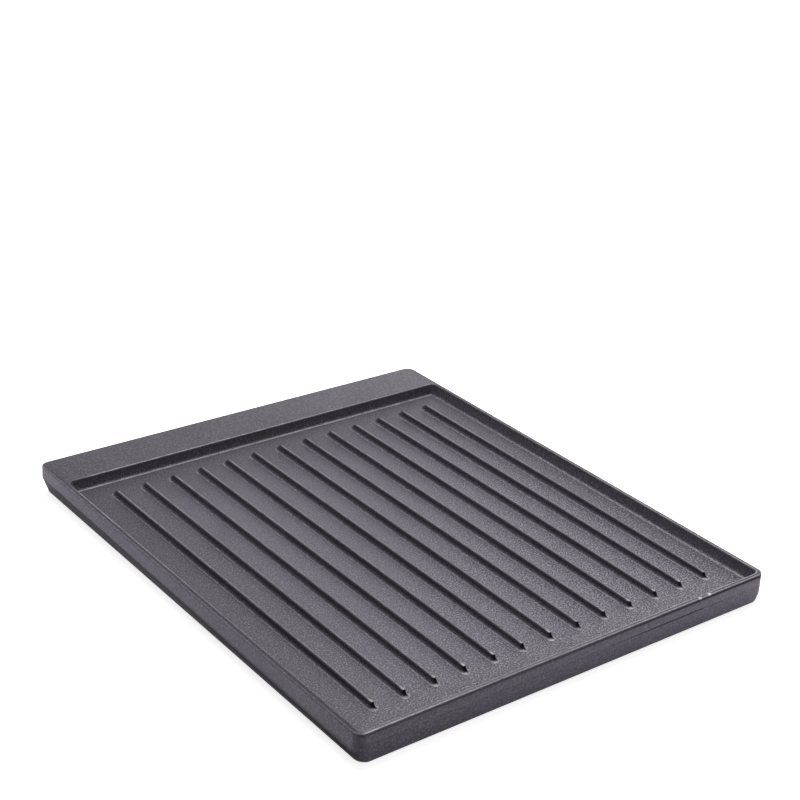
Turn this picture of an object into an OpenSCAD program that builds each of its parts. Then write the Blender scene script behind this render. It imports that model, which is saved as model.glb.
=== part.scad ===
// Camp griddle plate: one coated iron casting with a raised rim, a flat ledge
// along its back edge, a sunken tray and a row of sear ribs on the tray floor.
// Frame: X is the width, +Y points to the ledge, +Z is up, and the origin is
// the middle of the underside, level with the surface the plate rests on.

/* [Plate] */
// Overall length, front edge to back edge, at the parting line
plate_length = 350; // [320:1:400]
// Overall width, side to side, at the parting line
plate_width = 300; // [270:1:340]
// Overall height, underside to rim top
plate_height = 18.5; // [17:0.5:24]
// Radius of the four outer corners, seen from above
corner_radius = 6; // [4:0.5:12]

/* [Tray] */
// Depth of the tray floor below the rim top
tray_depth = 6.7; // [6:0.1:8]
// Width of the flat rim top on the two sides and the front
rim_top = 3.2; // [2.5:0.1:6]
// Depth of the flat ledge along the back edge
ledge_depth = 31.6; // [27:0.2:45]
// How far the tray walls lean in between the rim top and the floor
tray_draft = 2.5; // [1.5:0.1:3.5]
// Radius of the four tray corners, seen from above
tray_corner_radius = 4.5; // [4:0.5:10]
// Fillet where the tray walls meet the floor
tray_fillet = 0.8; // [0.5:0.1:2.5]

/* [Outer wall] */
// Height of the parting line below the rim top
parting_drop = 8; // [5:0.5:9]
// How far the rim top stands in from the parting line
rim_draft = 0.6; // [0.3:0.1:1.2]
// How far the underside stands in at the back end of the two sides
side_inset_back = 3; // [1.5:0.1:3.5]
// How far the underside stands in at the front end of the two sides
side_inset_front = 0.6; // [0.3:0.1:1.5]
// How far the underside stands in along the back
back_inset = 3; // [1.5:0.1:3.5]
// Lean of the lower wall where it is cut in, in degrees from upright
skirt_lean = 16; // [12:1:20]
// Width of the slanted break along the bottom of the front and the back
foot_break = 1.2; // [0.5:0.1:2]
// How far in the slanted break along the bottom of the two sides reaches
side_break = 3.7; // [3.6:0.1:4.5]

/* [Underside] */
// Thickness of the iron under the tray floor
floor_thickness = 5; // [4.5:0.1:5.5]
// Width of the skirt that the plate stands on
skirt_width = 8; // [7:0.5:11]
// How far the walls of the underside hollow lean
hollow_draft = 1; // [0.5:0.1:1.5]
// Corner radius of the hollow under the ledge, seen from below
ledge_hollow_radius = 4; // [2:0.5:5]
// Rounding at the top of the underside hollow
hollow_fillet = 1.2; // [0.5:0.1:2]

/* [Sear ribs] */
// Width of a rib where it stands on the floor
rib_base = 4.6; // [4:0.1:6]
// Width of a rib across its top
rib_crest = 2.4; // [2:0.1:3]
// Height of a rib above the tray floor
rib_height = 4.5; // [3:0.1:5]
// Rounding of the two top edges of a rib
rib_round = 1; // [0.4:0.1:1]
// Floor left clear between the back rib ends and the ledge wall
rib_back_gap = 18; // [10:0.5:22]
// Floor left clear between the front rib ends and the front wall
rib_front_gap = 16; // [10:0.5:22]
// From the side edges of the tray opening to the middle of the outermost ribs
rib_side_gap = 23.2; // [20:0.1:26]

/* [Hidden] */
$fn = 48;
// Ribs in the row
rib_count = 13;
// Overlap that keeps a cut clear of the face it starts from
cut_over = 1;
// Extra reach of the corner rounding past the walls it meets
corner_ease = 0.2;

half_width = plate_width / 2;
half_length = plate_length / 2;
parting_z = plate_height - parting_drop;
floor_z = plate_height - tray_depth;
hollow_z = floor_z - floor_thickness;
ledge_hollow_z = plate_height - floor_thickness;

// Tray opening at the rim top
tray_half_width = half_width - rim_draft - rim_top;
tray_front = -half_length + rim_draft + rim_top;
tray_back = half_length - rim_draft - ledge_depth;
tray_half_length = (tray_back - tray_front) / 2;
tray_middle = (tray_back + tray_front) / 2;

// Tray floor, between the feet of the walls
floor_half_width = tray_half_width - tray_draft;
floor_half_length = tray_half_length - tray_draft;

// Underside hollow at its mouth, inside the skirt
hollow_half_width = half_width - side_inset_back - skirt_width;
hollow_half_length = half_length - back_inset - skirt_width;

// Hollow under the ledge, one floor thickness behind the tray wall
ledge_hollow_front = tray_back + floor_thickness;
ledge_hollow_back = hollow_half_length - 2 * hollow_draft;
ledge_hollow_half_width = hollow_half_width - 2 * hollow_draft;
ledge_hollow_half = (ledge_hollow_back - ledge_hollow_front) / 2;
ledge_hollow_middle = (ledge_hollow_back + ledge_hollow_front) / 2;

// Even spacing that leaves the same gap at both sides
rib_pitch = 2 * (tray_half_width - rib_side_gap) / (rib_count - 1);
rib_front = tray_middle - floor_half_length + rib_front_gap;
rib_back = tray_middle + floor_half_length - rib_back_gap;

plate_colour = [0.37, 0.36, 0.36];
rib_colour = [0.34, 0.33, 0.33];

function two_digits(i) = str(i < 10 ? "0" : "", i);
function rib_name(i) = str("sear_rib_", two_digits(i));

// A symmetric trapezoid from z = low to z = high with its two low corners
// rounded: the circles touch the low edge and the leaning sides
module round_low_trapezoid(half_low, half_high, low, high, r) {
    lean = atan((half_high - half_low) / (high - low));
    centre_x = half_low + r * tan(lean) - r / cos(lean);
    touch_x = centre_x + r * cos(lean);
    touch_z = low + r - r * sin(lean);
    union() {
        polygon([
            [-half_high, high], [-touch_x, touch_z], [-centre_x, low],
            [centre_x, low], [touch_x, touch_z], [half_high, high]
        ]);
        for (side = [-1, 1])
            translate([side * centre_x, low + r]) circle(r = r);
    }
}

// The same shape turned over, with its two high corners rounded
module round_high_trapezoid(half_low, half_high, low, high, r) {
    translate([0, low + high])
        mirror([0, 1])
            round_low_trapezoid(half_high, half_low, low, high, r);
}

// Lays a drawn outline, X across and Z up, along Y for a length
module along_y(length) {
    translate([0, length / 2, 0])
        rotate([90, 0, 0])
            linear_extrude(height = length) children();
}

// Lays a drawn outline, Y across and Z up, along X for a length
module along_x(length) {
    translate([-length / 2, 0, 0])
        rotate([90, 0, 90])
            linear_extrude(height = length) children();
}

// A rectangle with four round corners
module round_rectangle(half_x, half_y, r) {
    union() {
        square([2 * half_x, 2 * (half_y - r)], center = true);
        square([2 * (half_x - r), 2 * half_y], center = true);
        for (x = [-1, 1], y = [-1, 1])
            translate([x * (half_x - r), y * (half_y - r)]) circle(r = r);
    }
}

// Outer wall seen end on: upright to the parting line, then in to the rim top
module wall_outline(half) {
    polygon([
        [-half, 0], [half, 0], [half, parting_z], [half - rim_draft, plate_height],
        [-half + rim_draft, plate_height], [-half, parting_z]
    ]);
}

// The casting before the tray, the lower wall and the underside are cut
module plate_blank() {
    intersection() {
        along_y(plate_length + 2 * cut_over) wall_outline(half_width);
        along_x(plate_width + 2 * cut_over) wall_outline(half_length);
        linear_extrude(height = plate_height)
            round_rectangle(half_width + corner_ease, half_length + corner_ease,
                corner_radius + corner_ease);
    }
}

// Everything outside a slanted plane that meets the underside at a distance along +X
module trim(distance, turn, lean) {
    translate([distance, 0, 0])
        rotate([0, 0, turn])
            rotate([0, lean, 0])
                translate([0, -plate_length, -plate_length])
                    cube([plate_length, 2 * plate_length, 2 * plate_length]);
}

// The lower wall of one side, cut in deeper towards the back, and its bottom break,
// which is straight, so it stands out more towards the front
module side_trim() {
    turn = atan((side_inset_back - side_inset_front) / plate_length);
    inset = (side_inset_back + side_inset_front) / 2;
    trim(half_width - inset, turn, skirt_lean);
    trim(half_width - side_break, 0, 45);
}

// The lower wall along the back and its bottom break
module back_trim() {
    rotate([0, 0, 90]) {
        trim(half_length - back_inset, 0, skirt_lean);
        trim(half_length - back_inset - foot_break, 0, 45);
    }
}

// The front wall stays upright and only has its bottom edge broken
module front_trim() {
    rotate([0, 0, -90]) trim(half_length - foot_break, 0, 45);
}

// The tray, with leaning walls and a fillet at the floor
module tray_cut() {
    rise = tray_depth + cut_over;
    spread = tray_draft * rise / tray_depth;
    translate([0, tray_middle, floor_z])
        intersection() {
            along_y(4 * tray_half_length)
                round_low_trapezoid(floor_half_width, floor_half_width + spread, 0, rise, tray_fillet);
            along_x(4 * tray_half_width)
                round_low_trapezoid(floor_half_length, floor_half_length + spread, 0, rise, tray_fillet);
            linear_extrude(height = rise)
                round_rectangle(floor_half_width + spread + corner_ease,
                    floor_half_length + spread + corner_ease, tray_corner_radius);
        }
}

// A hollow that opens downwards, with leaning walls and a fillet at its top
module hollow_cut(half_x, half_y, top) {
    rise = top + cut_over;
    spread = hollow_draft * rise / top;
    translate([0, 0, -cut_over])
        intersection() {
            along_y(4 * half_y)
                round_high_trapezoid(half_x, half_x - spread, 0, rise, hollow_fillet);
            along_x(4 * half_x)
                round_high_trapezoid(half_y, half_y - spread, 0, rise, hollow_fillet);
            linear_extrude(height = rise)
                round_rectangle(half_x + corner_ease, half_y + corner_ease, tray_corner_radius);
        }
}

// A straight-walled hollow under the ledge, so that the iron stays one thickness
module ledge_hollow_cut() {
    translate([0, ledge_hollow_middle, -cut_over])
        linear_extrude(height = ledge_hollow_z + cut_over)
            round_rectangle(ledge_hollow_half_width, ledge_hollow_half, ledge_hollow_radius);
}

// The whole casting but for the ribs
module plate_casting() {
    color(plate_colour)
        difference() {
            plate_blank();
            side_trim();
            mirror([1, 0, 0]) side_trim();
            back_trim();
            front_trim();
            tray_cut();
            hollow_cut(hollow_half_width, hollow_half_length, hollow_z);
            ledge_hollow_cut();
        }
}

// A rib seen end on, standing on z = 0
module rib_outline() {
    round_high_trapezoid(rib_base / 2, rib_crest / 2, 0, rib_height, rib_round);
}

// Half of the outline turned through half a circle closes each end of a rib
module rib_end() {
    rotate_extrude(angle = 180)
        intersection() {
            rib_outline();
            translate([0, -cut_over]) square([rib_base, rib_height + 2 * cut_over]);
        }
}

// One rib of the row, standing on the tray floor, counted from the left
module sear_rib(i) {
    reach = rib_base / 2;
    straight = rib_back - rib_front - 2 * reach;
    color(rib_colour)
        translate([(i - (rib_count + 1) / 2) * rib_pitch, (rib_front + rib_back) / 2, floor_z])
            union() {
                along_y(straight) rib_outline();
                translate([0, straight / 2, 0]) rib_end();
                translate([0, -straight / 2, 0]) rotate([0, 0, 180]) rib_end();
            }
}

plate_casting();
for (i = [1 : rib_count])
    sear_rib(i);
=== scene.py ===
import math
import bpy
import bmesh
from mathutils import Matrix, Vector


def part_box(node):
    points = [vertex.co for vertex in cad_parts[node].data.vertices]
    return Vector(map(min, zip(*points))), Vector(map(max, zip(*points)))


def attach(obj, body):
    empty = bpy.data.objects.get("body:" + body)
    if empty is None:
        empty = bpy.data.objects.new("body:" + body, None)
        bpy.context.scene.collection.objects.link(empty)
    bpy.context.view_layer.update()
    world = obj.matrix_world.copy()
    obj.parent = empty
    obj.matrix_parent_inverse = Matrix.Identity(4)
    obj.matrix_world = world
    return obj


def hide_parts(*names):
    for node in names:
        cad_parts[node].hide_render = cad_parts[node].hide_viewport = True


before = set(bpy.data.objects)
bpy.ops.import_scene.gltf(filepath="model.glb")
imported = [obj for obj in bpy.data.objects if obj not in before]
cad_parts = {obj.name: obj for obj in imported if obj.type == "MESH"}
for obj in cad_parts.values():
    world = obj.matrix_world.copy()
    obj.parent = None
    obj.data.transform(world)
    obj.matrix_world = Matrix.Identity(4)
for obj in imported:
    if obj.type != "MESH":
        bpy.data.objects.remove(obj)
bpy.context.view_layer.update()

mm = 0.001
markNames = ("grain", "wearAndHighlight", "paintedShade", "wall")  # what every vertex says about its coat: grain, pale wear with painted highlights, painted shade, and painted light where the coat is paler
scene = bpy.context.scene
scene.view_settings.view_transform = "Standard"
print("frame loaded:", len(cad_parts), "nodes")


def clamp(value):
    return min(max(value, 0.0), 1.0)


def linearColour(hexText):
    # sRGB hex to the linear values that sockets hold
    parts = [int(hexText[i:i + 2], 16) / 255 for i in (1, 3, 5)]
    line = [p / 12.92 if p <= 0.04045 else ((p + 0.055) / 1.055) ** 2.4 for p in parts]
    return (line[0], line[1], line[2], 1.0)


def addNode(tree, kind, inputs=None, **settings):
    # one node with its settings; an input is a plain value or another node's output
    node = tree.nodes.new(kind)
    for name, value in settings.items():
        setattr(node, name, value)
    byIdentifier = {socket.identifier: socket for socket in node.inputs}
    for name, value in (inputs or {}).items():
        socket = byIdentifier.get(name) or node.inputs[name]
        if isinstance(value, bpy.types.NodeSocket):
            tree.links.new(value, socket)
        else:
            socket.default_value = value
    return node


def newMaterial(name):
    material = bpy.data.materials.new(name)
    material.use_nodes = True
    material.node_tree.nodes.clear()
    return material, material.node_tree


# camera, matched to the edges in the photograph
cameraLook = {
    "place": (-583.25, -738.25, 534.43),  # mm from the origin
    "turn": 38.4806,  # degrees from +Y towards +X
    "tilt": 24.8883,  # degrees below level
    "roll": 3.238,  # the right side of the frame is raised by this
    "lens": 77.899,
    "sensor": 36,
    "near": 10,  # mm
}


def makeCamera(look):
    turn = math.radians(look["turn"])
    tilt = math.radians(look["tilt"])
    roll = math.radians(look["roll"])
    ahead = Vector((math.sin(turn) * math.cos(tilt), math.cos(turn) * math.cos(tilt), -math.sin(tilt)))
    level = ahead.cross(Vector((0, 0, 1))).normalized()
    upright = level.cross(ahead)
    right = level * math.cos(roll) + upright * math.sin(roll)
    up = right.cross(ahead)
    lens = bpy.data.cameras.new("photoCamera")
    lens.lens = look["lens"]
    lens.sensor_width = look["sensor"]
    lens.clip_start = look["near"] * mm
    camera = bpy.data.objects.new("photoCamera", lens)
    scene.collection.objects.link(camera)
    turned = Matrix((right, up, -ahead)).transposed().to_4x4()
    camera.matrix_world = Matrix.Translation(Vector(look["place"]) * mm) @ turned
    scene.camera = camera


makeCamera(cameraLook)
print("camera placed")


# coated iron
# A sand-cast iron plate with a baked black coat: the coat lies thin over the sand grain,
# so the tray is speckled at about a millimetre, with pale grain tips that also paint glints,
# and the ledge and outer walls are smoother. Painted shade darkens steep walls, corners,
# the lower band and the far edges; painted light makes the outer walls, rib feet and parts
# of the floor paler; edges are paler with wear and with painted highlights.
coatLook = {
    "coat": "#534d59",
    "coatPale": "#5f5965",
    # paler coat that paints light on walls, rib feet and the floor
    "wall": "#7f778a",
    "grainDark": "#26232a",
    # pale grain tips, which also paint glints of light
    "grainPaleAndGlint": "#aca8b0",
    # dark colour that paints shade
    "paintedShade": "#1a161d",
    # pale colour for wear, bare metal in chips, and painted highlights and glints
    "paleWearAndHighlight": "#e6e3e8",
    "blotchMm": 38,
    "blotchRange": (0.32, 0.68),  # noise values that give the darkest and the palest coat
    "grainMm": 0.9,
    "hollowRange": (0.50, 0.34),  # noise values where a dark hollow starts and is full
    "hollowDepth": 0.8,
    "paleTipAndGlintRange": (0.53, 0.67),  # noise values where a pale tip starts and is full; the tips also paint glints
    "wearAndHighlightMm": 6,
    "wearAndHighlightRange": (0.36, 0.66),
    "wearAndHighlightCover": (0.25, 0.75),  # least and most of the pale wear and painted highlight that shows
    "pitMm": 3.4,
    "pitShare": 0.35,
    "reliefMm": 0.28,
    "roughness": (0.42, 0.51),
    "roughnessRange": (0.3, 0.7),
    "gloss": 0.2,  # for clean coat; painted shade has none
}


def makeCoat(look):
    material, tree = newMaterial("bakedBlackCoatOnCastIron")
    place = addNode(tree, "ShaderNodeTexCoord").outputs["Object"]
    grainShare, wearAndHighlightShare, paintedShadeShare, paintedLightShare = [
        addNode(tree, "ShaderNodeAttribute", attribute_name=name).outputs["Fac"] for name in markNames]

    # broad uneven shade of the coat, and the paler wall coat, which paints light on the outer walls, rib
    # feet and parts of the floor
    blotch = addNode(tree, "ShaderNodeTexNoise", {
        "Vector": place, "Scale": 1000 / look["blotchMm"], "Detail": 3.0, "Roughness": 0.55}).outputs["Fac"]
    shadeShare = addNode(tree, "ShaderNodeMapRange", {
        "Value": blotch, "From Min": look["blotchRange"][0], "From Max": look["blotchRange"][1]})
    even = addNode(tree, "ShaderNodeMix", {
        "Factor": shadeShare.outputs["Result"], "A_Color": linearColour(look["coat"]),
        "B_Color": linearColour(look["coatPale"])}, data_type="RGBA").outputs[2]
    shade = addNode(tree, "ShaderNodeMix", {
        "Factor": paintedLightShare, "A_Color": even, "B_Color": linearColour(look["wall"])},
        data_type="RGBA").outputs[2]

    # sand grain of the mould: dark hollows, and pale tips that also paint glints of light
    grain = addNode(tree, "ShaderNodeTexNoise", {
        "Vector": place, "Scale": 1000 / look["grainMm"], "Detail": 2.0, "Roughness": 0.6}).outputs["Fac"]
    hollows = addNode(tree, "ShaderNodeMapRange", {
        "Value": grain, "From Min": look["hollowRange"][0], "From Max": look["hollowRange"][1],
        "To Max": look["hollowDepth"]}).outputs["Result"]
    hollowsHere = addNode(tree, "ShaderNodeMath", {0: hollows, 1: grainShare}, operation="MULTIPLY")
    paleTipsAndGlints = addNode(tree, "ShaderNodeMapRange", {
        "Value": grain, "From Min": look["paleTipAndGlintRange"][0], "From Max": look["paleTipAndGlintRange"][1]}).outputs["Result"]
    paleTipsAndGlintsHere = addNode(tree, "ShaderNodeMath", {0: paleTipsAndGlints, 1: grainShare}, operation="MULTIPLY")
    darkened = addNode(tree, "ShaderNodeMix", {
        "Factor": hollowsHere.outputs[0], "A_Color": shade, "B_Color": linearColour(look["grainDark"])},
        data_type="RGBA").outputs[2]
    grained = addNode(tree, "ShaderNodeMix", {
        "Factor": paleTipsAndGlintsHere.outputs[0], "A_Color": darkened, "B_Color": linearColour(look["grainPaleAndGlint"])},
        data_type="RGBA").outputs[2]

    # painted shade on steep walls, corners and edges, then pale wear and painted highlights where the noise
    # lets them
    withPaintedShade = addNode(tree, "ShaderNodeMix", {
        "Factor": paintedShadeShare, "A_Color": grained, "B_Color": linearColour(look["paintedShade"])},
        data_type="RGBA").outputs[2]
    wearAndHighlightNoise = addNode(tree, "ShaderNodeTexNoise", {
        "Vector": place, "Scale": 1000 / look["wearAndHighlightMm"], "Detail": 4.0, "Roughness": 0.65}).outputs["Fac"]
    wearAndHighlightHere = addNode(tree, "ShaderNodeMapRange", {
        "Value": wearAndHighlightNoise, "From Min": look["wearAndHighlightRange"][0], "From Max": look["wearAndHighlightRange"][1],
        "To Min": look["wearAndHighlightCover"][0], "To Max": look["wearAndHighlightCover"][1]}).outputs["Result"]
    wearAndHighlight = addNode(tree, "ShaderNodeMath", {0: wearAndHighlightHere, 1: wearAndHighlightShare}, operation="MULTIPLY").outputs[0]
    paleWearAndHighlight = addNode(tree, "ShaderNodeMix", {
        "Factor": wearAndHighlight, "A_Color": withPaintedShade, "B_Color": linearColour(look["paleWearAndHighlight"])},
        data_type="RGBA").outputs[2]

    # fine grain over wide soft pits
    pits = addNode(tree, "ShaderNodeTexNoise", {
        "Vector": place, "Scale": 1000 / look["pitMm"], "Detail": 2.0, "Roughness": 0.5}).outputs["Fac"]
    relief = addNode(tree, "ShaderNodeMath", {0: grain, 1: grainShare}, operation="MULTIPLY").outputs[0]
    height = addNode(tree, "ShaderNodeMath", {
        0: pits, 1: look["pitShare"], 2: relief}, operation="MULTIPLY_ADD").outputs[0]
    bump = addNode(tree, "ShaderNodeBump", {
        "Height": height, "Strength": 1.0, "Distance": look["reliefMm"] * mm}).outputs["Normal"]

    roughness = addNode(tree, "ShaderNodeMapRange", {
        "Value": blotch, "From Min": look["roughnessRange"][0], "From Max": look["roughnessRange"][1],
        "To Min": look["roughness"][0], "To Max": look["roughness"][1]}).outputs["Result"]
    gloss = addNode(tree, "ShaderNodeMapRange", {
        "Value": paintedShadeShare, "To Min": look["gloss"], "To Max": 0.0}).outputs["Result"]
    surface = addNode(tree, "ShaderNodeBsdfPrincipled", {
        "Base Color": paleWearAndHighlight, "Roughness": roughness, "Specular IOR Level": gloss, "Normal": bump})
    addNode(tree, "ShaderNodeOutputMaterial", {"Surface": surface.outputs["BSDF"]})
    return material


coat = makeCoat(coatLook)
print("coat made")


# plate casting
plateLook = {
    "sizes": {  # mm, from the overall box inwards
        "cornerRadius": 6.0, "cornerSteps": 10, "sideSteps": 15, "turnSteps": 6, "sharpAngle": 50,
        "floorThickness": 5.0, "skirtWidth": 8.0, "hollowDraft": 1.0, "hollowFillet": 1.2,
        "hollowEase": 0.6, "hollowCorners": (3.0, 4.0, 5.0), "mouthRise": 0.7, "mouthSpread": 0.4,
        "ledgeHollowRadius": 4.0, "ledgeHollowSide": 2.0, "ledgeHollowBack": 1.5, "ledgeHollowRound": 1.0,
        "footRadius": 1.2, "footFlat": 0.4, "footCorner": 0.6,
        "bottomInset": 3.0, "frontBend": 5.4, "backBend": 10.4, "bendPower": 1.4,
        "bendParts": (0.35, 0.5, 0.65, 0.8, 0.95),
        "frontShadeFade": (5.8, 9.0), "backShadeFade": (10.0, 10.7),  # heights between which the painted shade fades
        "partingDrop": 8.0, "partingEase": 0.25,
        "frontGroove": 11.3, "grooveDepth": 0.12, "grooveHalf": 0.15, "grooveEase": 0.4,
        "rimDraft": 0.15, "rimEdge": 0.9, "underRim": (1.2, 0.5), "rimRows": ((0.1, 1.0), (0.5, 1.5)),
        "rimTop": 3.2, "ledgeDepth": 32.3, "lipRound": 0.6, "lipEase": 0.3, "lipDrop": 0.35,
        "trayDepth": 6.7, "trayLean": 2.5, "sideLean": 3.3, "trayShift": 0.6,
        "trayCorner": 4.0, "trayCornerFall": 2.0, "trayCornerLeast": 0.8,
        "trayFillet": 0.8, "filletEase": 0.3, "footLine": 0.6,
        "floorRows": ((1.2, 0.3, 0.0), (10.0, 0.25, 0.3), (26.0, 0.15, 0.5)),  # inset, shade, pale
        "floorMiddle": 60.0,
    },
    "corners": {  # start and end of each corner: front right, back right, back left, front left
        "climb": ((0, 0), (1, 1), (1, 1), (0, 0)),
        # painted shade on the lower band and under the front rim edge, and a painted dark line along the far
        # outer edges
        "undercutShade": ((0, 1), (1, 1), (0.88, 0.85), (0.97, 0)),
        "underFrontShade": ((1, 0), (0, 0), (0, 0), (0, 0.4)),
        "farEdge": ((0, 1), (1, 1), (1, 0), (0, 0)),
        # pale wear with painted highlights along the rim edge and on the rim top; painted shade on the rim
        # top
        "edgeWearAndHighlight": ((0.9, 0), (0, 0), (0, 0), (0, 1.7)),
        "rimWearAndHighlight": ((0, 0), (0, 0), (0, 0), (0, 0.1)),
        "rimShade": ((0.5, 0.2), (0.12, 0), (0.32, 0.5), (0.6, 0)),
        # painted highlight line along the lip, with painted shade on it at the back left, and a painted
        # highlight line at the foot of the tray wall
        "lipHighlight": ((1, 0.8), (0.1, 0.3), (0.1, 0.1), (0, 0.25)),
        "lipShade": ((0, 0), (0, 0), (0.2, 0.6), (0.1, 0)),
        "footHighlight": ((1, 0.6), (0.05, 0.75), (1, 0.5), (0.5, 1)),
        # painted light on the outer walls and the right inner wall
        "wallPaintedLight": ((0.95, 0.9), (0.9, 0.9), (0.85, 0.9), (0.45, 0.35)),
        "innerPaintedLight": ((0, 0), (0, 0), (0, 0), (0, 0.1)),
        # painted shade on the front wall at the left, and on the floor, darker to the back and left
        "frontShade": ((0, 0), (0, 0), (0, 0), (0, 0.1)),
        "floorShade": ((0.2, 0.4), (0.75, 0.9), (1.2, 1.3), (0.35, 0.15)),
        # grain strength round the floor, stronger at the front right, where the pale tips paint glints
        "floorGrainAndGlint": ((1.7, 1.5), (0.5, 0.4), (0.4, 0.45), (0.75, 0.85)),
        # painted light on the floor, paler to the front right
        "floorPaintedLight": ((1.25, 0.9), (0.1, 0), (0, 0), (0.35, 0.55)),
    },
    "wearShadeAndHighlight": {  # places are shares of the front, counted from the left; the groove is darkened with painted shade, the edge and chips are pale wear with painted highlights and glints, and the lip lines at the ledge and left side are painted highlights
        "grooveStart": 0.58, "grooveGrow": 0.12, "grooveEnd": 0.845, "grooveTail": 0.4, "tailFade": 6,
        "edgeLeft": 1.7, "edgeFall": 3.3, "edgeLow": 0.7, "edgeRise": 0.2,
        "chips": (0.829, 0.856), "chipHalf": 0.005, "chipCore": 0.6, "chipWearAndGlint": 3.0,
        "ledgeHighlight": 0.4, "ledgeHighlightRise": 0.7, "leftHighlight": 0.9,
    },
    "even": {  # the same all round
        # painted shade in the underside hollow, on the foot and the lower band, at the front left corner,
        # under the rim edge, along the far outer edges, under the lip and on the tray walls; painted light
        # on the rim edge and in the middle of the floor; pale wear with painted highlights on the rim edge,
        # and a painted highlight line at the foot of the tray wall
        "hollowGrain": 0.6, "hollowShade": 0.25,
        "wallGrain": 0.4, "lowCornerShade": 0.25, "cornerShade": 0.35,
        "footShade": 1.0, "bendShade": 0.95, "fadeShade": (0.9, 0.05),
        "underRimShade": 0.9, "rimPaintedLight": 0.7, "farEdgeShade": 0.85, "farStart": 0.75, "farGrow": 0.15,
        "rimGrain": 0.35, "rimEdgeWearAndHighlight": 0.3, "rimChip": 0.8,
        "lipGrain": 0.3, "lipUnderShade": 0.4, "trayWallShade": 0.14,
        "trayGrain": 0.5, "filletGrain": 0.4, "footGrain": 1.0, "footLineHighlight": 0.9,
        "middleGrain": 0.95, "middlePaintedLight": 0.15, "middlePaintedLightShare": 0.3,
    },
}


def sideParts(steps, wearShadeAndHighlight):
    # places of the points along a side: even steps, and five for each chip in the front edge
    chips = [chip + step * wearShadeAndHighlight["chipHalf"] for chip in wearShadeAndHighlight["chips"] for step in (-1, -0.5, 0, 0.5, 1)]
    return sorted([i / steps for i in range(1, steps)] + chips)


def roundOutline(half, insets, radius, steps, parts):
    # rounded outline, anticlockwise from the front right corner; the sides may draw in to the back
    sideFront, sideBack, front, back = insets
    frontX = half[0] - sideFront - radius
    backX = half[0] - sideBack - radius
    lowY = -half[1] + front + radius
    highY = half[1] - back - radius
    arcs = []
    for x, y, start in ((frontX, lowY, -90), (backX, highY, 0), (-backX, highY, 90), (-frontX, lowY, 180)):
        angles = [math.radians(start + 90 * i / steps) for i in range(steps + 1)]
        arcs.append([(x + radius * math.cos(angle), y + radius * math.sin(angle)) for angle in angles])
    points = []
    for k, arc in enumerate(arcs):
        x0, y0 = arc[-1]
        x1, y1 = arcs[(k + 1) % 4][0]
        points += arc + [(x0 + (x1 - x0) * part, y0 + (y1 - y0) * part) for part in parts]
    return points


def addRing(bm, outline, height, marks, layers):
    # the height and each mark are one value for the whole ring or a list with one value a point
    ring = []
    for i, (x, y) in enumerate(outline):
        z = height[i] if isinstance(height, list) else height
        ring.append(bm.verts.new((x * mm, y * mm, z * mm)))
    for name, value in marks.items():
        for i, vert in enumerate(ring):
            vert[layers[name]] = value[i] if isinstance(value, list) else value
    return ring


def bridge(bm, low, high):
    count = len(low)
    for i in range(count):
        j = (i + 1) % count
        bm.faces.new((low[i], low[j], high[j], high[i]))


def finishMesh(bm, name, sharp):
    bmesh.ops.remove_doubles(bm, verts=bm.verts, dist=0.002 * mm)
    bmesh.ops.recalc_face_normals(bm, faces=bm.faces)
    mesh = bpy.data.meshes.new(name)
    bm.to_mesh(mesh)
    bm.free()
    mesh.shade_smooth()
    mesh.set_sharp_from_angle(angle=math.radians(sharp))
    return mesh


def spreadMarks(corners, wearShadeAndHighlight, steps, parts):
    # one value a point: each mark runs round a corner and on along the side that follows it
    spread = {}
    for name, ends in corners.items():
        spread[name] = []
        for k, (first, last) in enumerate(ends):
            follow = ends[(k + 1) % 4][0]
            spread[name] += [first + (last - first) * i / steps for i in range(steps + 1)]
            spread[name] += [last + (follow - last) * part for part in parts]
    side = steps + 1 + len(parts)
    frontLeft = 3 * side
    backRun, leftRun, frontRun = [corner * side + steps + 1 for corner in (1, 2, 3)]
    for name in ("nearCorner", "groove", "chipWearAndGlint"):
        spread[name] = [0.0] * (4 * side)
    for i in range(steps + 1):
        spread["nearCorner"][frontLeft + i] = math.sin(math.pi * i / steps)
        spread["undercutShade"][frontLeft + i] *= 1 - i / steps
    for i, part in enumerate(parts):
        start = clamp((part - wearShadeAndHighlight["grooveStart"]) / wearShadeAndHighlight["grooveGrow"])
        tail = max(wearShadeAndHighlight["grooveTail"] - wearShadeAndHighlight["tailFade"] * (part - wearShadeAndHighlight["grooveEnd"]), 0.0)
        spread["groove"][frontRun + i] = start if part < wearShadeAndHighlight["grooveEnd"] else tail
        nearLeft = wearShadeAndHighlight["edgeLeft"] - wearShadeAndHighlight["edgeFall"] * part
        spread["edgeWearAndHighlight"][frontRun + i] = max(nearLeft, wearShadeAndHighlight["edgeLow"] + wearShadeAndHighlight["edgeRise"] * part)
        nearest = min(abs(part - chip) for chip in wearShadeAndHighlight["chips"])
        inChip = nearest < wearShadeAndHighlight["chipHalf"] * wearShadeAndHighlight["chipCore"]
        spread["chipWearAndGlint"][frontRun + i] = wearShadeAndHighlight["chipWearAndGlint"] if inChip else 0.0
        spread["lipHighlight"][backRun + i] = wearShadeAndHighlight["ledgeHighlight"] + wearShadeAndHighlight["ledgeHighlightRise"] * part
        spread["lipHighlight"][leftRun + i] = wearShadeAndHighlight["leftHighlight"] * (1 - part)
    return spread


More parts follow.
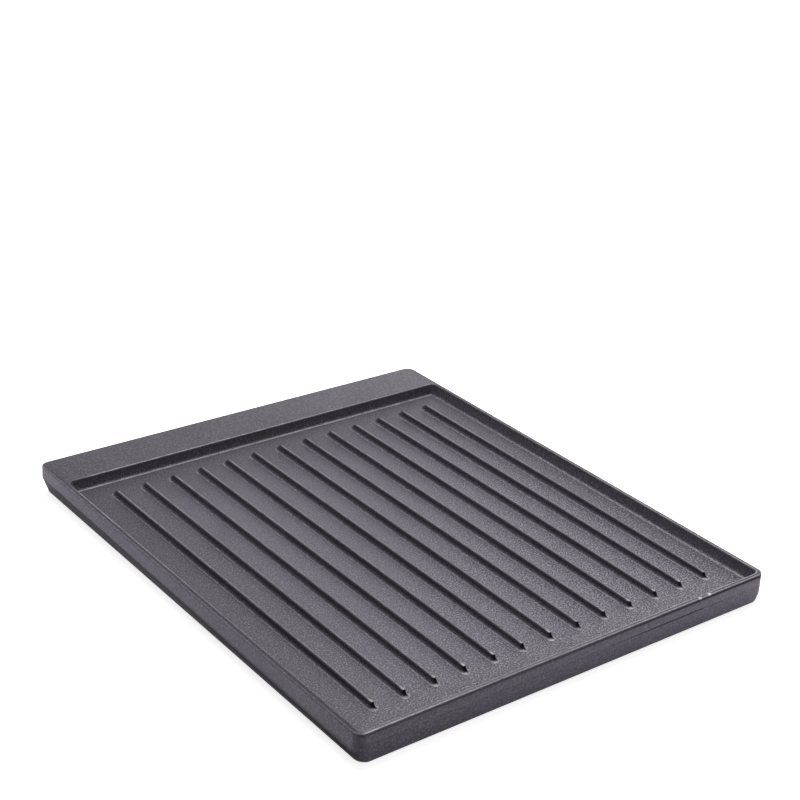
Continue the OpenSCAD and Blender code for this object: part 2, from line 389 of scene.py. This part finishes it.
def plateRows(sizes, around, even, top):
    # rows of points from the underside hollow out, up the wall, over the rim and down to the tray floor
    s = sizes
    partingZ = top - s["partingDrop"]
    floorZ = top - s["trayDepth"]
    ceiling = floorZ - s["floorThickness"]
    turn = [i / s["turnSteps"] * math.pi / 2 for i in range(s["turnSteps"] + 1)]
    rows = []

    def share(value, mark):
        return [value * point for point in mark]

    def row(insets, z, radius, grain, wearAndHighlight=0.0, paintedShade=0.0, wall=0.0, shift=0.0):
        rows.append((insets, z, radius, shift, {"grain": grain, "wearAndHighlight": wearAndHighlight, "paintedShade": paintedShade, "wall": wall}))

    def hollow(z, extra, radius):
        inset = s["bottomInset"] + s["skirtWidth"] + s["hollowDraft"] * z / ceiling + extra
        row([inset] * 4, z, radius, even["hollowGrain"], paintedShade=even["hollowShade"])

    def lowerWall(frontZ, backZ, extra=0.0, paintedShade=0.0):
        # below its bend the wall draws in to the foot; the bend climbs from the front to the back
        front = s["bottomInset"] * max(1 - frontZ / s["frontBend"], 0.0) ** s["bendPower"] + extra
        back = s["bottomInset"] * max(1 - backZ / s["backBend"], 0.0) + extra
        heights = [frontZ + (backZ - frontZ) * part for part in around["climb"]]
        # painted shade on the lower band, at the front left corner and on the front wall at the left;
        # painted light makes the wall paler
        dark = [paintedShade * under + even["lowCornerShade"] * near + shade for under, near, shade
                in zip(around["undercutShade"], around["nearCorner"], around["frontShade"])]
        radius = s["cornerRadius"] - extra * s["footCorner"]
        row([front, back, extra, back], heights, radius, even["wallGrain"], 0.0, dark, around["wallPaintedLight"])

    def upperWall(z, extra=0.0, wearAndHighlight=0.0, paintedShade=0.0, farEdgeShade=0.0, groove=0.0, wall=1.0):
        inset = s["rimDraft"] * max(z - partingZ, 0.0) / s["partingDrop"] + extra
        # painted shade under the front rim edge, along the far outer edges, in the groove and at the front
        # left corner; pale wear with painted highlights on the edge and chips; painted light makes the wall
        # paler
        dark = [paintedShade * under + farEdgeShade * far + groove * line + even["cornerShade"] * near + shade * wall
                for under, far, line, near, shade in zip(
                    around["underFrontShade"], around["farEdge"], around["groove"],
                    around["nearCorner"], around["frontShade"])]
        bright = [wearAndHighlight * edge + min(2 * wearAndHighlight, 1.0) * chip
                  for edge, chip in zip(around["edgeWearAndHighlight"], around["chipWearAndGlint"])]
        insets = [inset, inset, inset + groove * s["grooveDepth"], inset]
        radius = s["cornerRadius"] - inset
        row(insets, z, radius, even["wallGrain"], bright, dark, share(wall, around["wallPaintedLight"]))

    def tray(z, extra, grain, wearAndHighlight=0.0, paintedShade=0.0, wall=0.0):
        # leaning tray wall; the ledge makes the back inset deeper
        part = (top - z) / s["trayDepth"]
        rim = s["rimDraft"] + s["rimTop"] + extra
        sideInset = rim + s["sideLean"] * part
        frontInset = rim + s["trayLean"] * part
        backInset = s["rimDraft"] + s["ledgeDepth"] + extra + s["trayLean"] * part
        radius = max(s["trayCorner"] - extra - s["trayCornerFall"] * part, s["trayCornerLeast"])
        insets = [sideInset, sideInset, frontInset, backInset]
        row(insets, z, radius, grain, wearAndHighlight, paintedShade, wall, s["trayShift"])

    # underside hollow, from its ceiling out to the skirt, darkened with painted shade
    fillet = s["hollowFillet"]
    ceilingCorner, filletCorner, mouthCorner = s["hollowCorners"]
    hollow(ceiling, fillet + s["hollowEase"], ceilingCorner)
    for a in turn:
        hollow(ceiling - fillet * (1 - math.cos(a)), fillet * (1 - math.sin(a)), filletCorner)
    hollow(s["mouthRise"], 0.0, mouthCorner)
    hollow(0.0, -s["mouthSpread"], mouthCorner)

    # flat foot, rounded bottom edge and lower wall up to the bend, darkened with painted shade that fades
    # above it
    foot = s["footRadius"]
    lowerWall(0.0, 0.0, foot + s["footFlat"], even["footShade"])
    for a in turn:
        rise = foot * (1 - math.cos(a))
        lowerWall(rise, rise, foot * (1 - math.sin(a)), even["footShade"])
    for part in s["bendParts"]:
        lowerWall(s["frontBend"] * part, s["backBend"] * part, 0.0, even["bendShade"])
    for frontZ, backZ, paintedShade in zip(s["frontShadeFade"], s["backShadeFade"], even["fadeShade"]):
        lowerWall(frontZ, backZ, 0.0, paintedShade)

    # upper wall, paler with painted light, with a groove where the mould parted, in the right part of the
    # front, darkened with painted shade
    groove = s["frontGroove"]
    upperWall(partingZ + s["partingEase"])
    upperWall(groove - s["grooveEase"])
    upperWall(groove - s["grooveHalf"], groove=1.0)
    upperWall(groove + s["grooveHalf"], groove=1.0)
    upperWall(groove + s["grooveEase"])

    # round rim edge, with painted shade in the hard corner under the front edge and on top at the far sides,
    # pale wear with painted highlights along it, and painted light on its face
    edge = s["rimEdge"]
    cleanDrop, sootDrop = s["underRim"]
    upperWall(top - edge - cleanDrop)
    upperWall(top - edge - sootDrop, paintedShade=even["underRimShade"])
    for a in turn:
        curve = math.sin(a)
        farEdgeShade = even["farEdgeShade"] * clamp((curve - even["farStart"]) / even["farGrow"])
        upperWall(top - edge * (1 - curve), edge * (1 - math.cos(a)), wearAndHighlight=curve ** 4,
                  paintedShade=even["underRimShade"] * (1 - curve), farEdgeShade=farEdgeShade, wall=even["rimPaintedLight"])

    # rim top: the edge's marks end in the first row, and the second keeps them off the ledge
    (outerInset, outerCut), (innerInset, innerCut) = s["rimRows"]
    outerWearAndHighlight = [max(even["rimEdgeWearAndHighlight"] * wearAndHighlight, rim, chip) for wearAndHighlight, rim, chip
                in zip(around["edgeWearAndHighlight"], around["rimWearAndHighlight"], around["chipWearAndGlint"])]
    outerShade = [max(paintedShade, even["farEdgeShade"] * far) for paintedShade, far in zip(around["rimShade"], around["farEdge"])]
    innerWearAndHighlight = [max(rim, even["rimChip"] * chip) for rim, chip in zip(around["rimWearAndHighlight"], around["chipWearAndGlint"])]
    row([s["rimDraft"] + edge + outerInset] * 4, top, s["cornerRadius"] - edge - outerCut,
        even["wallGrain"], outerWearAndHighlight, outerShade)
    row([s["rimDraft"] + edge + innerInset] * 4, top, s["cornerRadius"] - edge - innerCut,
        even["rimGrain"], innerWearAndHighlight, around["rimShade"])

    # ledge and rim to the lip of the tray, with a painted highlight line on the lip and painted shade under
    # it
    lip = s["lipRound"]
    tray(top, -lip - s["lipEase"], even["rimGrain"], around["rimWearAndHighlight"], around["rimShade"])
    for a in turn:
        wearAndHighlight = share(math.cos(a) ** 2, around["lipHighlight"])
        tray(top - lip * (1 - math.cos(a)), -lip * (1 - math.sin(a)), even["lipGrain"],
             wearAndHighlight, around["lipShade"])
    tray(top - lip - s["lipDrop"], 0.0, even["wallGrain"], 0.0, even["lipUnderShade"])

    # leaning wall with painted shade, fillet with a painted highlight line at its foot, and tray floor with
    # painted shade to the back and left and painted light to the front right
    hollowFoot = s["trayFillet"]
    tray(floorZ + hollowFoot + s["filletEase"], 0.0, even["trayGrain"], 0.0,
         even["trayWallShade"], around["innerPaintedLight"])
    for a in turn:
        part = a / turn[-1]
        rise = hollowFoot * (1 - math.sin(a))
        grain = even["trayGrain"] + even["filletGrain"] * part
        tray(floorZ + rise, hollowFoot * (1 - math.cos(a)), grain, share(part ** 2, around["footHighlight"]))
    footHighlight = share(even["footLineHighlight"], around["footHighlight"])
    tray(floorZ, hollowFoot + s["footLine"], even["footGrain"], footHighlight)
    for inset, shade, pale in s["floorRows"]:
        tray(floorZ, hollowFoot + inset, around["floorGrainAndGlint"], 0.0,
             share(shade, around["floorShade"]), share(pale, around["floorPaintedLight"]))
    middlePaintedLight = [even["middlePaintedLight"] + even["middlePaintedLightShare"] * pale for pale in around["floorPaintedLight"]]
    middleGrain = share(even["middleGrain"], around["floorGrainAndGlint"])
    tray(floorZ, hollowFoot + s["floorMiddle"], middleGrain, wall=middlePaintedLight)
    return rows


def makePlate(look):
    s = look["sizes"]
    low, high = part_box("plate_casting")
    half = ((high[0] - low[0]) / 2 / mm, (high[1] - low[1]) / 2 / mm)
    top = high[2] / mm
    steps = s["cornerSteps"]
    parts = sideParts(s["sideSteps"], look["wearShadeAndHighlight"])
    around = spreadMarks(look["corners"], look["wearShadeAndHighlight"], steps, parts)
    even = look["even"]
    bm = bmesh.new()
    layers = {name: bm.verts.layers.float.new(name) for name in markNames}
    rings = []
    for insets, z, radius, shift, marks in plateRows(s, around, even, top):
        outline = [(x + shift, y) for x, y in roundOutline(half, insets, radius, steps, parts)]
        rings.append(addRing(bm, outline, z, marks, layers))
    for lower, upper in zip(rings, rings[1:]):
        bridge(bm, lower, upper)
    bm.faces.new(rings[-1])

    # straight hollow under the ledge, let into the ceiling of the big one, darkened with painted shade
    ceiling = top - s["trayDepth"] - s["floorThickness"]
    hollowTop = top - s["floorThickness"]
    hollowEdge = s["bottomInset"] + s["skirtWidth"] + 2 * s["hollowDraft"]
    side = hollowEdge + s["ledgeHollowSide"]
    front = 2 * half[1] - s["rimDraft"] - s["ledgeDepth"] + s["floorThickness"]
    back = hollowEdge + s["ledgeHollowBack"]
    radius = s["ledgeHollowRadius"]
    bend = s["ledgeHollowRound"]
    marks = {"grain": even["hollowGrain"], "wearAndHighlight": 0.0, "paintedShade": even["hollowShade"], "wall": 0.0}
    mouthShape = roundOutline(half, (side, side, front, back), radius, steps, parts)
    roofInsets = (side + bend, side + bend, front + bend, back + bend)
    roofShape = roundOutline(half, roofInsets, radius - bend, steps, parts)
    mouth = addRing(bm, mouthShape, ceiling, marks, layers)
    wall = addRing(bm, mouthShape, hollowTop - bend, marks, layers)
    roof = addRing(bm, roofShape, hollowTop, marks, layers)
    bridge(bm, mouth, wall)
    bridge(bm, wall, roof)
    bm.faces.new(roof)
    borders = [bm.edges.get((ring[i], ring[i - 1])) for ring in (rings[0], mouth) for i in range(len(ring))]
    bmesh.ops.triangle_fill(bm, edges=borders, use_beauty=True, use_dissolve=False)
    mesh = finishMesh(bm, "plateCasting", s["sharpAngle"])
    mesh.materials.append(coat)
    plate = bpy.data.objects.new("plateCasting", mesh)
    scene.collection.objects.link(plate)
    return plate


plateCasting = makePlate(plateLook)
print("plate casting:", len(plateCasting.data.polygons), "faces")


# sear ribs
ribLook = {
    "sizes": {  # mm
        "foot": (  # half width and rise of each ring up to the crest round
            (2.7, 0.0), (2.35, 0.08), (2.08, 0.25), (1.85, 0.6),
            (1.68, 1.05), (1.53, 1.6), (1.39, 2.3), (1.25, 3.0)),
        "sink": 0.05, "backRamp": 3.5, "backTaper": 5.0, "backSlope": 1.1,
        "frontSlope": 0.5, "frontDrop": 0.2, "apron": 1.3, "apronRise": 0.3,
        "crestHalf": 0.15, "crestRound": 1.0, "crestInset": 0.1,
        "endSteps": 16, "sideSteps": 8, "crestSteps": 8, "sharpAngle": 60,
    },
    "marks": {  # reaches and starts are heights in mm
        "footGrain": 0.9, "grainFall": 0.3, "grainReach": 2, "crestGrain": 0.3, "topGrain": 0.8,
        # painted light makes the foot paler, more so at the back end; painted highlight lines run along the
        # foot and the flank
        "sunkHighlight": 0.1, "sunkPaintedLight": 0.2, "footPaintedLight": 0.5, "paintedLightReach": 1.5, "backPaintedLight": 0.5,
        "backHighlight": 0.2, "backHighlightReach": 2.4, "frontHighlight": 0.9, "frontHighlightReach": 0.18,
        "flankHighlight": 0.1, "flankHighlightReach": 2.0, "highlightTowardsBack": 0.4,
        # a painted highlight crescent at the foot of the front end
        "endHighlight": 1.3, "endHighlightFull": 2.0, "endHighlightReach": 1.0, "endHighlightSpread": 0.4,
        "endHighlightStop": 0.65, "endHighlightFade": 0.2,  # shares of the turn round the front end, left to right
        # painted shade on the left flank, the crest and the front end, and a painted shadow at the right of
        # the end
        "flankShade": 0.3, "flankShadeStart": 1.3, "crestShade": 0.4, "backClean": 0.4,
        "endShade": 0.95, "endShadeStart": 0.8, "endShadeGrow": 2, "rightShadowGrow": 10,
        "rightStart": 0.38, "rightGrow": 0.12,  # shares of the turn too
        # painted highlights along the crest and on its tip
        "crestBackHighlight": 0.35, "crestFrontHighlight": 0.2, "tipHighlight": 1.9, "tipFade": 85,
    },
}


def stadium(half, back, backTaper, front, steps, sideSteps):
    # a long outline that tapers to a slim back end and has a round front end
    angles = [math.pi * i / steps for i in range(steps + 1)]
    backPoints = [(half * math.cos(a), back - backTaper * (1 - math.sin(a))) for a in angles]
    frontPoints = [(-half * math.cos(a), front + half * (1 - math.sin(a))) for a in angles]
    first = backPoints[-1][1]
    last = frontPoints[0][1]
    side = [last + (first - last) * (1 - i / (sideSteps + 1)) ** 2 for i in range(1, sideSteps + 1)]
    return backPoints + [(-half, y) for y in side] + frontPoints + [(half, y) for y in reversed(side)]


def makeRibShape(look):
    s = look["sizes"]
    m = look["marks"]
    low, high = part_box("sear_rib_01")
    height = (high[2] - low[2]) / mm
    base = low[2] / mm
    steps = s["endSteps"]
    sideSteps = s["sideSteps"]

    # where each mark lies on an outline: back end, left side, front end, right side
    turn = [math.pi * i / steps for i in range(steps + 1)]
    fade = [(1 - i / (sideSteps + 1)) ** 2 for i in range(1, sideSteps + 1)]
    noEnd = [0.0] * (steps + 1)
    fullEnd = [1.0] * (steps + 1)
    noSide = [0.0] * sideSteps
    frontEnd = noEnd + noSide + [math.sin(a) for a in turn] + noSide
    footTurn = [math.sin(a) ** m["endHighlightSpread"] * clamp((m["endHighlightStop"] - a / math.pi) / m["endHighlightFade"])
                for a in turn]
    frontFoot = noEnd + noSide + footTurn + noSide
    rightTurn = [math.sin(a) * clamp((a / math.pi - m["rightStart"]) / m["rightGrow"]) for a in turn]
    frontRight = noEnd + noSide + rightTurn + noSide
    tipSide = [max(1 - m["tipFade"] * far, 0.0) for far in fade]
    frontTip = noEnd + tipSide + fullEnd + tipSide[::-1]
    backEnd = fullEnd + fade + noEnd + fade[::-1]
    leftTurn = [(1 - math.cos(a)) / 2 for a in turn]
    leftSide = leftTurn + [1.0] * sideSteps + leftTurn[::-1] + noSide

    bm = bmesh.new()
    layers = {name: bm.verts.layers.float.new(name) for name in markNames}
    rings = []

    def fall(value, rise, reach):
        return value * max(1 - rise / reach, 0.0)

    def ring(half, rise, grain, ends, backHighlight, frontHighlight, endHighlight,
             paintedShade=0.0, endShade=0.0, rightShadow=0.0, wall=0.0):
        climb = max(rise, 0.0)
        back = high[1] / mm + s["backRamp"] - s["backSlope"] * climb
        front = low[1] / mm + s["frontSlope"] * climb - fall(s["apron"], climb, s["apronRise"])
        outline = stadium(half, back, s["backTaper"], front, steps, sideSteps)
        drop = climb * s["frontDrop"]
        heights = [base + rise - drop * clamp(y * mm / low[1]) ** 2 for x, y in outline]
        flank = [frontHighlight + (backHighlight - frontHighlight) * far ** m["highlightTowardsBack"] for far in backEnd]
        flankShade = [paintedShade * left * (1 - m["backClean"] * far) for left, far in zip(leftSide, backEnd)]
        marks = {
            "grain": grain,
            "wearAndHighlight": [wearAndHighlight * (1 - end) + endHighlight * end for wearAndHighlight, end in zip(flank, ends)],
            "paintedShade": [dark * (1 - end) + max(endShade * end, rightShadow * right)
                     for dark, end, right in zip(flankShade, frontEnd, frontRight)],
            "wall": [wall * (1 + m["backPaintedLight"] * far) for far in backEnd],
        }
        rings.append(addRing(bm, outline, heights, marks, layers))

    # foot paler with painted light, painted shade on the left flank, front end dark with painted shade and a
    # painted shadow at its right, and a painted highlight crescent at its foot
    ring(s["foot"][0][0], -s["sink"], m["footGrain"], frontFoot, m["sunkHighlight"], m["frontHighlight"], m["endHighlight"],
         wall=m["sunkPaintedLight"])
    for half, rise in s["foot"]:
        grain = m["footGrain"] - m["grainFall"] * min(rise, m["grainReach"])
        frontHighlight = max(fall(m["frontHighlight"], rise, m["frontHighlightReach"]),
                       fall(m["flankHighlight"], rise, m["flankHighlightReach"]))
        ring(half, rise, grain, frontFoot, fall(m["backHighlight"], rise, m["backHighlightReach"]), frontHighlight,
             min(fall(m["endHighlightFull"], rise, m["endHighlightReach"]), m["endHighlight"]),
             paintedShade=m["flankShade"] * max(rise - m["flankShadeStart"], 0.0),
             endShade=min(m["endShadeGrow"] * max(rise - m["endShadeStart"], 0.0), m["endShade"]),
             rightShadow=min(m["rightShadowGrow"] * rise, m["endShade"]),
             wall=fall(m["footPaintedLight"], rise, m["paintedLightReach"]))

    # round crest with painted shade and painted highlights along it and on its tip, and its flat top
    crest = s["crestRound"]
    for i in range(s["crestSteps"] + 1):
        a = math.pi / 2 * i / s["crestSteps"]
        edge = math.sin(a) ** 12
        ring(s["crestHalf"] + crest * math.cos(a), height - crest * (1 - math.sin(a)), m["crestGrain"],
             frontTip, m["crestBackHighlight"] * edge, m["crestFrontHighlight"] * edge, m["tipHighlight"] * math.sin(a) ** 6,
             paintedShade=m["crestShade"], endShade=m["endShade"] * math.cos(a))
    ring(s["crestHalf"] - s["crestInset"], height, m["topGrain"], frontTip,
         m["crestBackHighlight"], m["crestFrontHighlight"], m["tipHighlight"])
    for lower, upper in zip(rings, rings[1:]):
        bridge(bm, lower, upper)
    bm.faces.new(rings[-1])
    bm.faces.new(rings[0])
    return finishMesh(bm, "ribShape", s["sharpAngle"])


def makeRibTree():
    tree = bpy.data.node_groups.new("ribRow", "GeometryNodeTree")
    face = tree.interface
    face.new_socket("Rib", in_out="INPUT", socket_type="NodeSocketGeometry")
    face.new_socket("Count", in_out="INPUT", socket_type="NodeSocketInt")
    face.new_socket("Pitch", in_out="INPUT", socket_type="NodeSocketFloat")
    face.new_socket("Finish", in_out="INPUT", socket_type="NodeSocketMaterial")
    face.new_socket("Row", in_out="OUTPUT", socket_type="NodeSocketGeometry")
    given = addNode(tree, "NodeGroupInput").outputs
    step = addNode(tree, "ShaderNodeCombineXYZ", {"X": given["Pitch"]})
    gaps = addNode(tree, "ShaderNodeMath", {0: given["Count"], 1: 1.0}, operation="SUBTRACT")
    half = addNode(tree, "ShaderNodeMath", {0: gaps.outputs[0], 1: -0.5}, operation="MULTIPLY")
    first = addNode(tree, "ShaderNodeMath", {0: half.outputs[0], 1: given["Pitch"]}, operation="MULTIPLY")
    start = addNode(tree, "ShaderNodeCombineXYZ", {"X": first.outputs[0]})
    line = addNode(tree, "GeometryNodeMeshLine", {
        "Count": given["Count"], "Start Location": start.outputs[0], "Offset": step.outputs[0]})
    row = addNode(tree, "GeometryNodeInstanceOnPoints", {
        "Points": line.outputs["Mesh"], "Instance": given["Rib"]})
    real = addNode(tree, "GeometryNodeRealizeInstances", {"Geometry": row.outputs["Instances"]})
    finished = addNode(tree, "GeometryNodeSetMaterial", {
        "Geometry": real.outputs["Geometry"], "Material": given["Finish"]})
    addNode(tree, "NodeGroupOutput", {"Row": finished.outputs["Geometry"]})
    return tree


def makeRibs(look):
    names = sorted(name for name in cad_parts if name.startswith("sear_rib_"))
    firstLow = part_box(names[0])[0]
    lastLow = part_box(names[-1])[0]
    pitch = (lastLow[0] - firstLow[0]) / (len(names) - 1)
    tree = makeRibTree()
    seed = bpy.data.objects.new("ribSeed", makeRibShape(look))
    scene.collection.objects.link(seed)
    modifier = seed.modifiers.new("ribRow", "NODES")
    modifier.node_group = tree
    values = {"Count": len(names), "Pitch": pitch, "Finish": coat}
    for item in tree.interface.items_tree:
        if item.in_out == "INPUT" and item.name in values:
            modifier[item.identifier] = values[item.name]
    seen = seed.evaluated_get(bpy.context.evaluated_depsgraph_get())
    mesh = bpy.data.meshes.new_from_object(seen)
    mesh.name = "searRibs"
    ribs = bpy.data.objects.new("searRibs", mesh)
    scene.collection.objects.link(ribs)
    seed.modifiers.remove(modifier)
    bpy.data.objects.remove(seed)
    return ribs, names


searRibs, ribNodes = makeRibs(ribLook)
print("sear ribs:", len(ribNodes), "ribs,", len(searRibs.data.polygons), "faces")


# table top
tableLook = {"colour": "#f4f4f4", "cameraLift": 0.8, "half": 4.0, "drop": 0.0002}  # m


def addSeen(tree):
    # 1 where the eye looks, straight, in a reflection or through glass, and 0 for light on the object
    ray = addNode(tree, "ShaderNodeLightPath").outputs
    straight = addNode(tree, "ShaderNodeMath", {
        0: ray["Is Camera Ray"], 1: ray["Is Glossy Ray"]}, operation="MAXIMUM")
    through = addNode(tree, "ShaderNodeMath", {
        0: straight.outputs[0], 1: ray["Is Transmission Ray"]}, operation="MAXIMUM")
    return through.outputs[0]


def makeTable(look):
    material, tree = newMaterial("paleMattTable")
    lift = addNode(tree, "ShaderNodeMath", {0: addSeen(tree), 1: look["cameraLift"]}, operation="MULTIPLY")
    matt = addNode(tree, "ShaderNodeBsdfDiffuse", {"Color": linearColour(look["colour"])})
    glow = addNode(tree, "ShaderNodeEmission", {"Strength": lift.outputs[0]})
    both = addNode(tree, "ShaderNodeAddShader", {0: matt.outputs["BSDF"], 1: glow.outputs["Emission"]})
    addNode(tree, "ShaderNodeOutputMaterial", {"Surface": both.outputs[0]})
    half = look["half"]
    corners = [(-half, -half, 0), (half, -half, 0), (half, half, 0), (-half, half, 0)]
    mesh = bpy.data.meshes.new("tableTop")
    mesh.from_pydata(corners, [], [(0, 1, 2, 3)])
    mesh.materials.append(material)
    table = bpy.data.objects.new("tableTop", mesh)
    scene.collection.objects.link(table)
    table.location.z = -look["drop"]


makeTable(tableLook)


# soft studio light
lampLook = {  # m and W; every lamp looks at the origin
    "key": {"place": (0.50, 0.80, 1.77), "size": (1.4, 1.4), "power": 30.5},
    "side": {"place": (1.85, 0.95, 0.95), "size": (1.4, 1.0), "power": 12},
    "over": {"place": (-0.2, -0.1, 1.9), "size": (1.4, 1.4), "power": 0.8},
}
worldLook = {"colour": "#ffffff", "strength": 0.17, "seenStrength": 1.0}


def makeLamps(lamps, sky):
    for name, look in lamps.items():
        lamp = bpy.data.lights.new(name + "Lamp", "AREA")
        lamp.shape = "RECTANGLE"
        lamp.size, lamp.size_y = look["size"]
        lamp.energy = look["power"]
        holder = bpy.data.objects.new(name + "Lamp", lamp)
        scene.collection.objects.link(holder)
        holder.location = look["place"]
        ahead = -Vector(look["place"])
        holder.rotation_euler = ahead.to_track_quat("-Z", "Y").to_euler()
    world = bpy.data.worlds.new("studio")
    world.use_nodes = True
    scene.world = world
    tree = world.node_tree
    tree.nodes.clear()
    strength = addNode(tree, "ShaderNodeMapRange", {
        "Value": addSeen(tree), "To Min": sky["strength"], "To Max": sky["seenStrength"]}).outputs["Result"]
    back = addNode(tree, "ShaderNodeBackground", {
        "Color": linearColour(sky["colour"]), "Strength": strength})
    addNode(tree, "ShaderNodeOutputWorld", {"Surface": back.outputs["Background"]})


makeLamps(lampLook, worldLook)
print("table and lamps placed")

for piece in (plateCasting, searRibs):
    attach(piece, "root")
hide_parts("plate_casting")
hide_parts(*ribNodes)
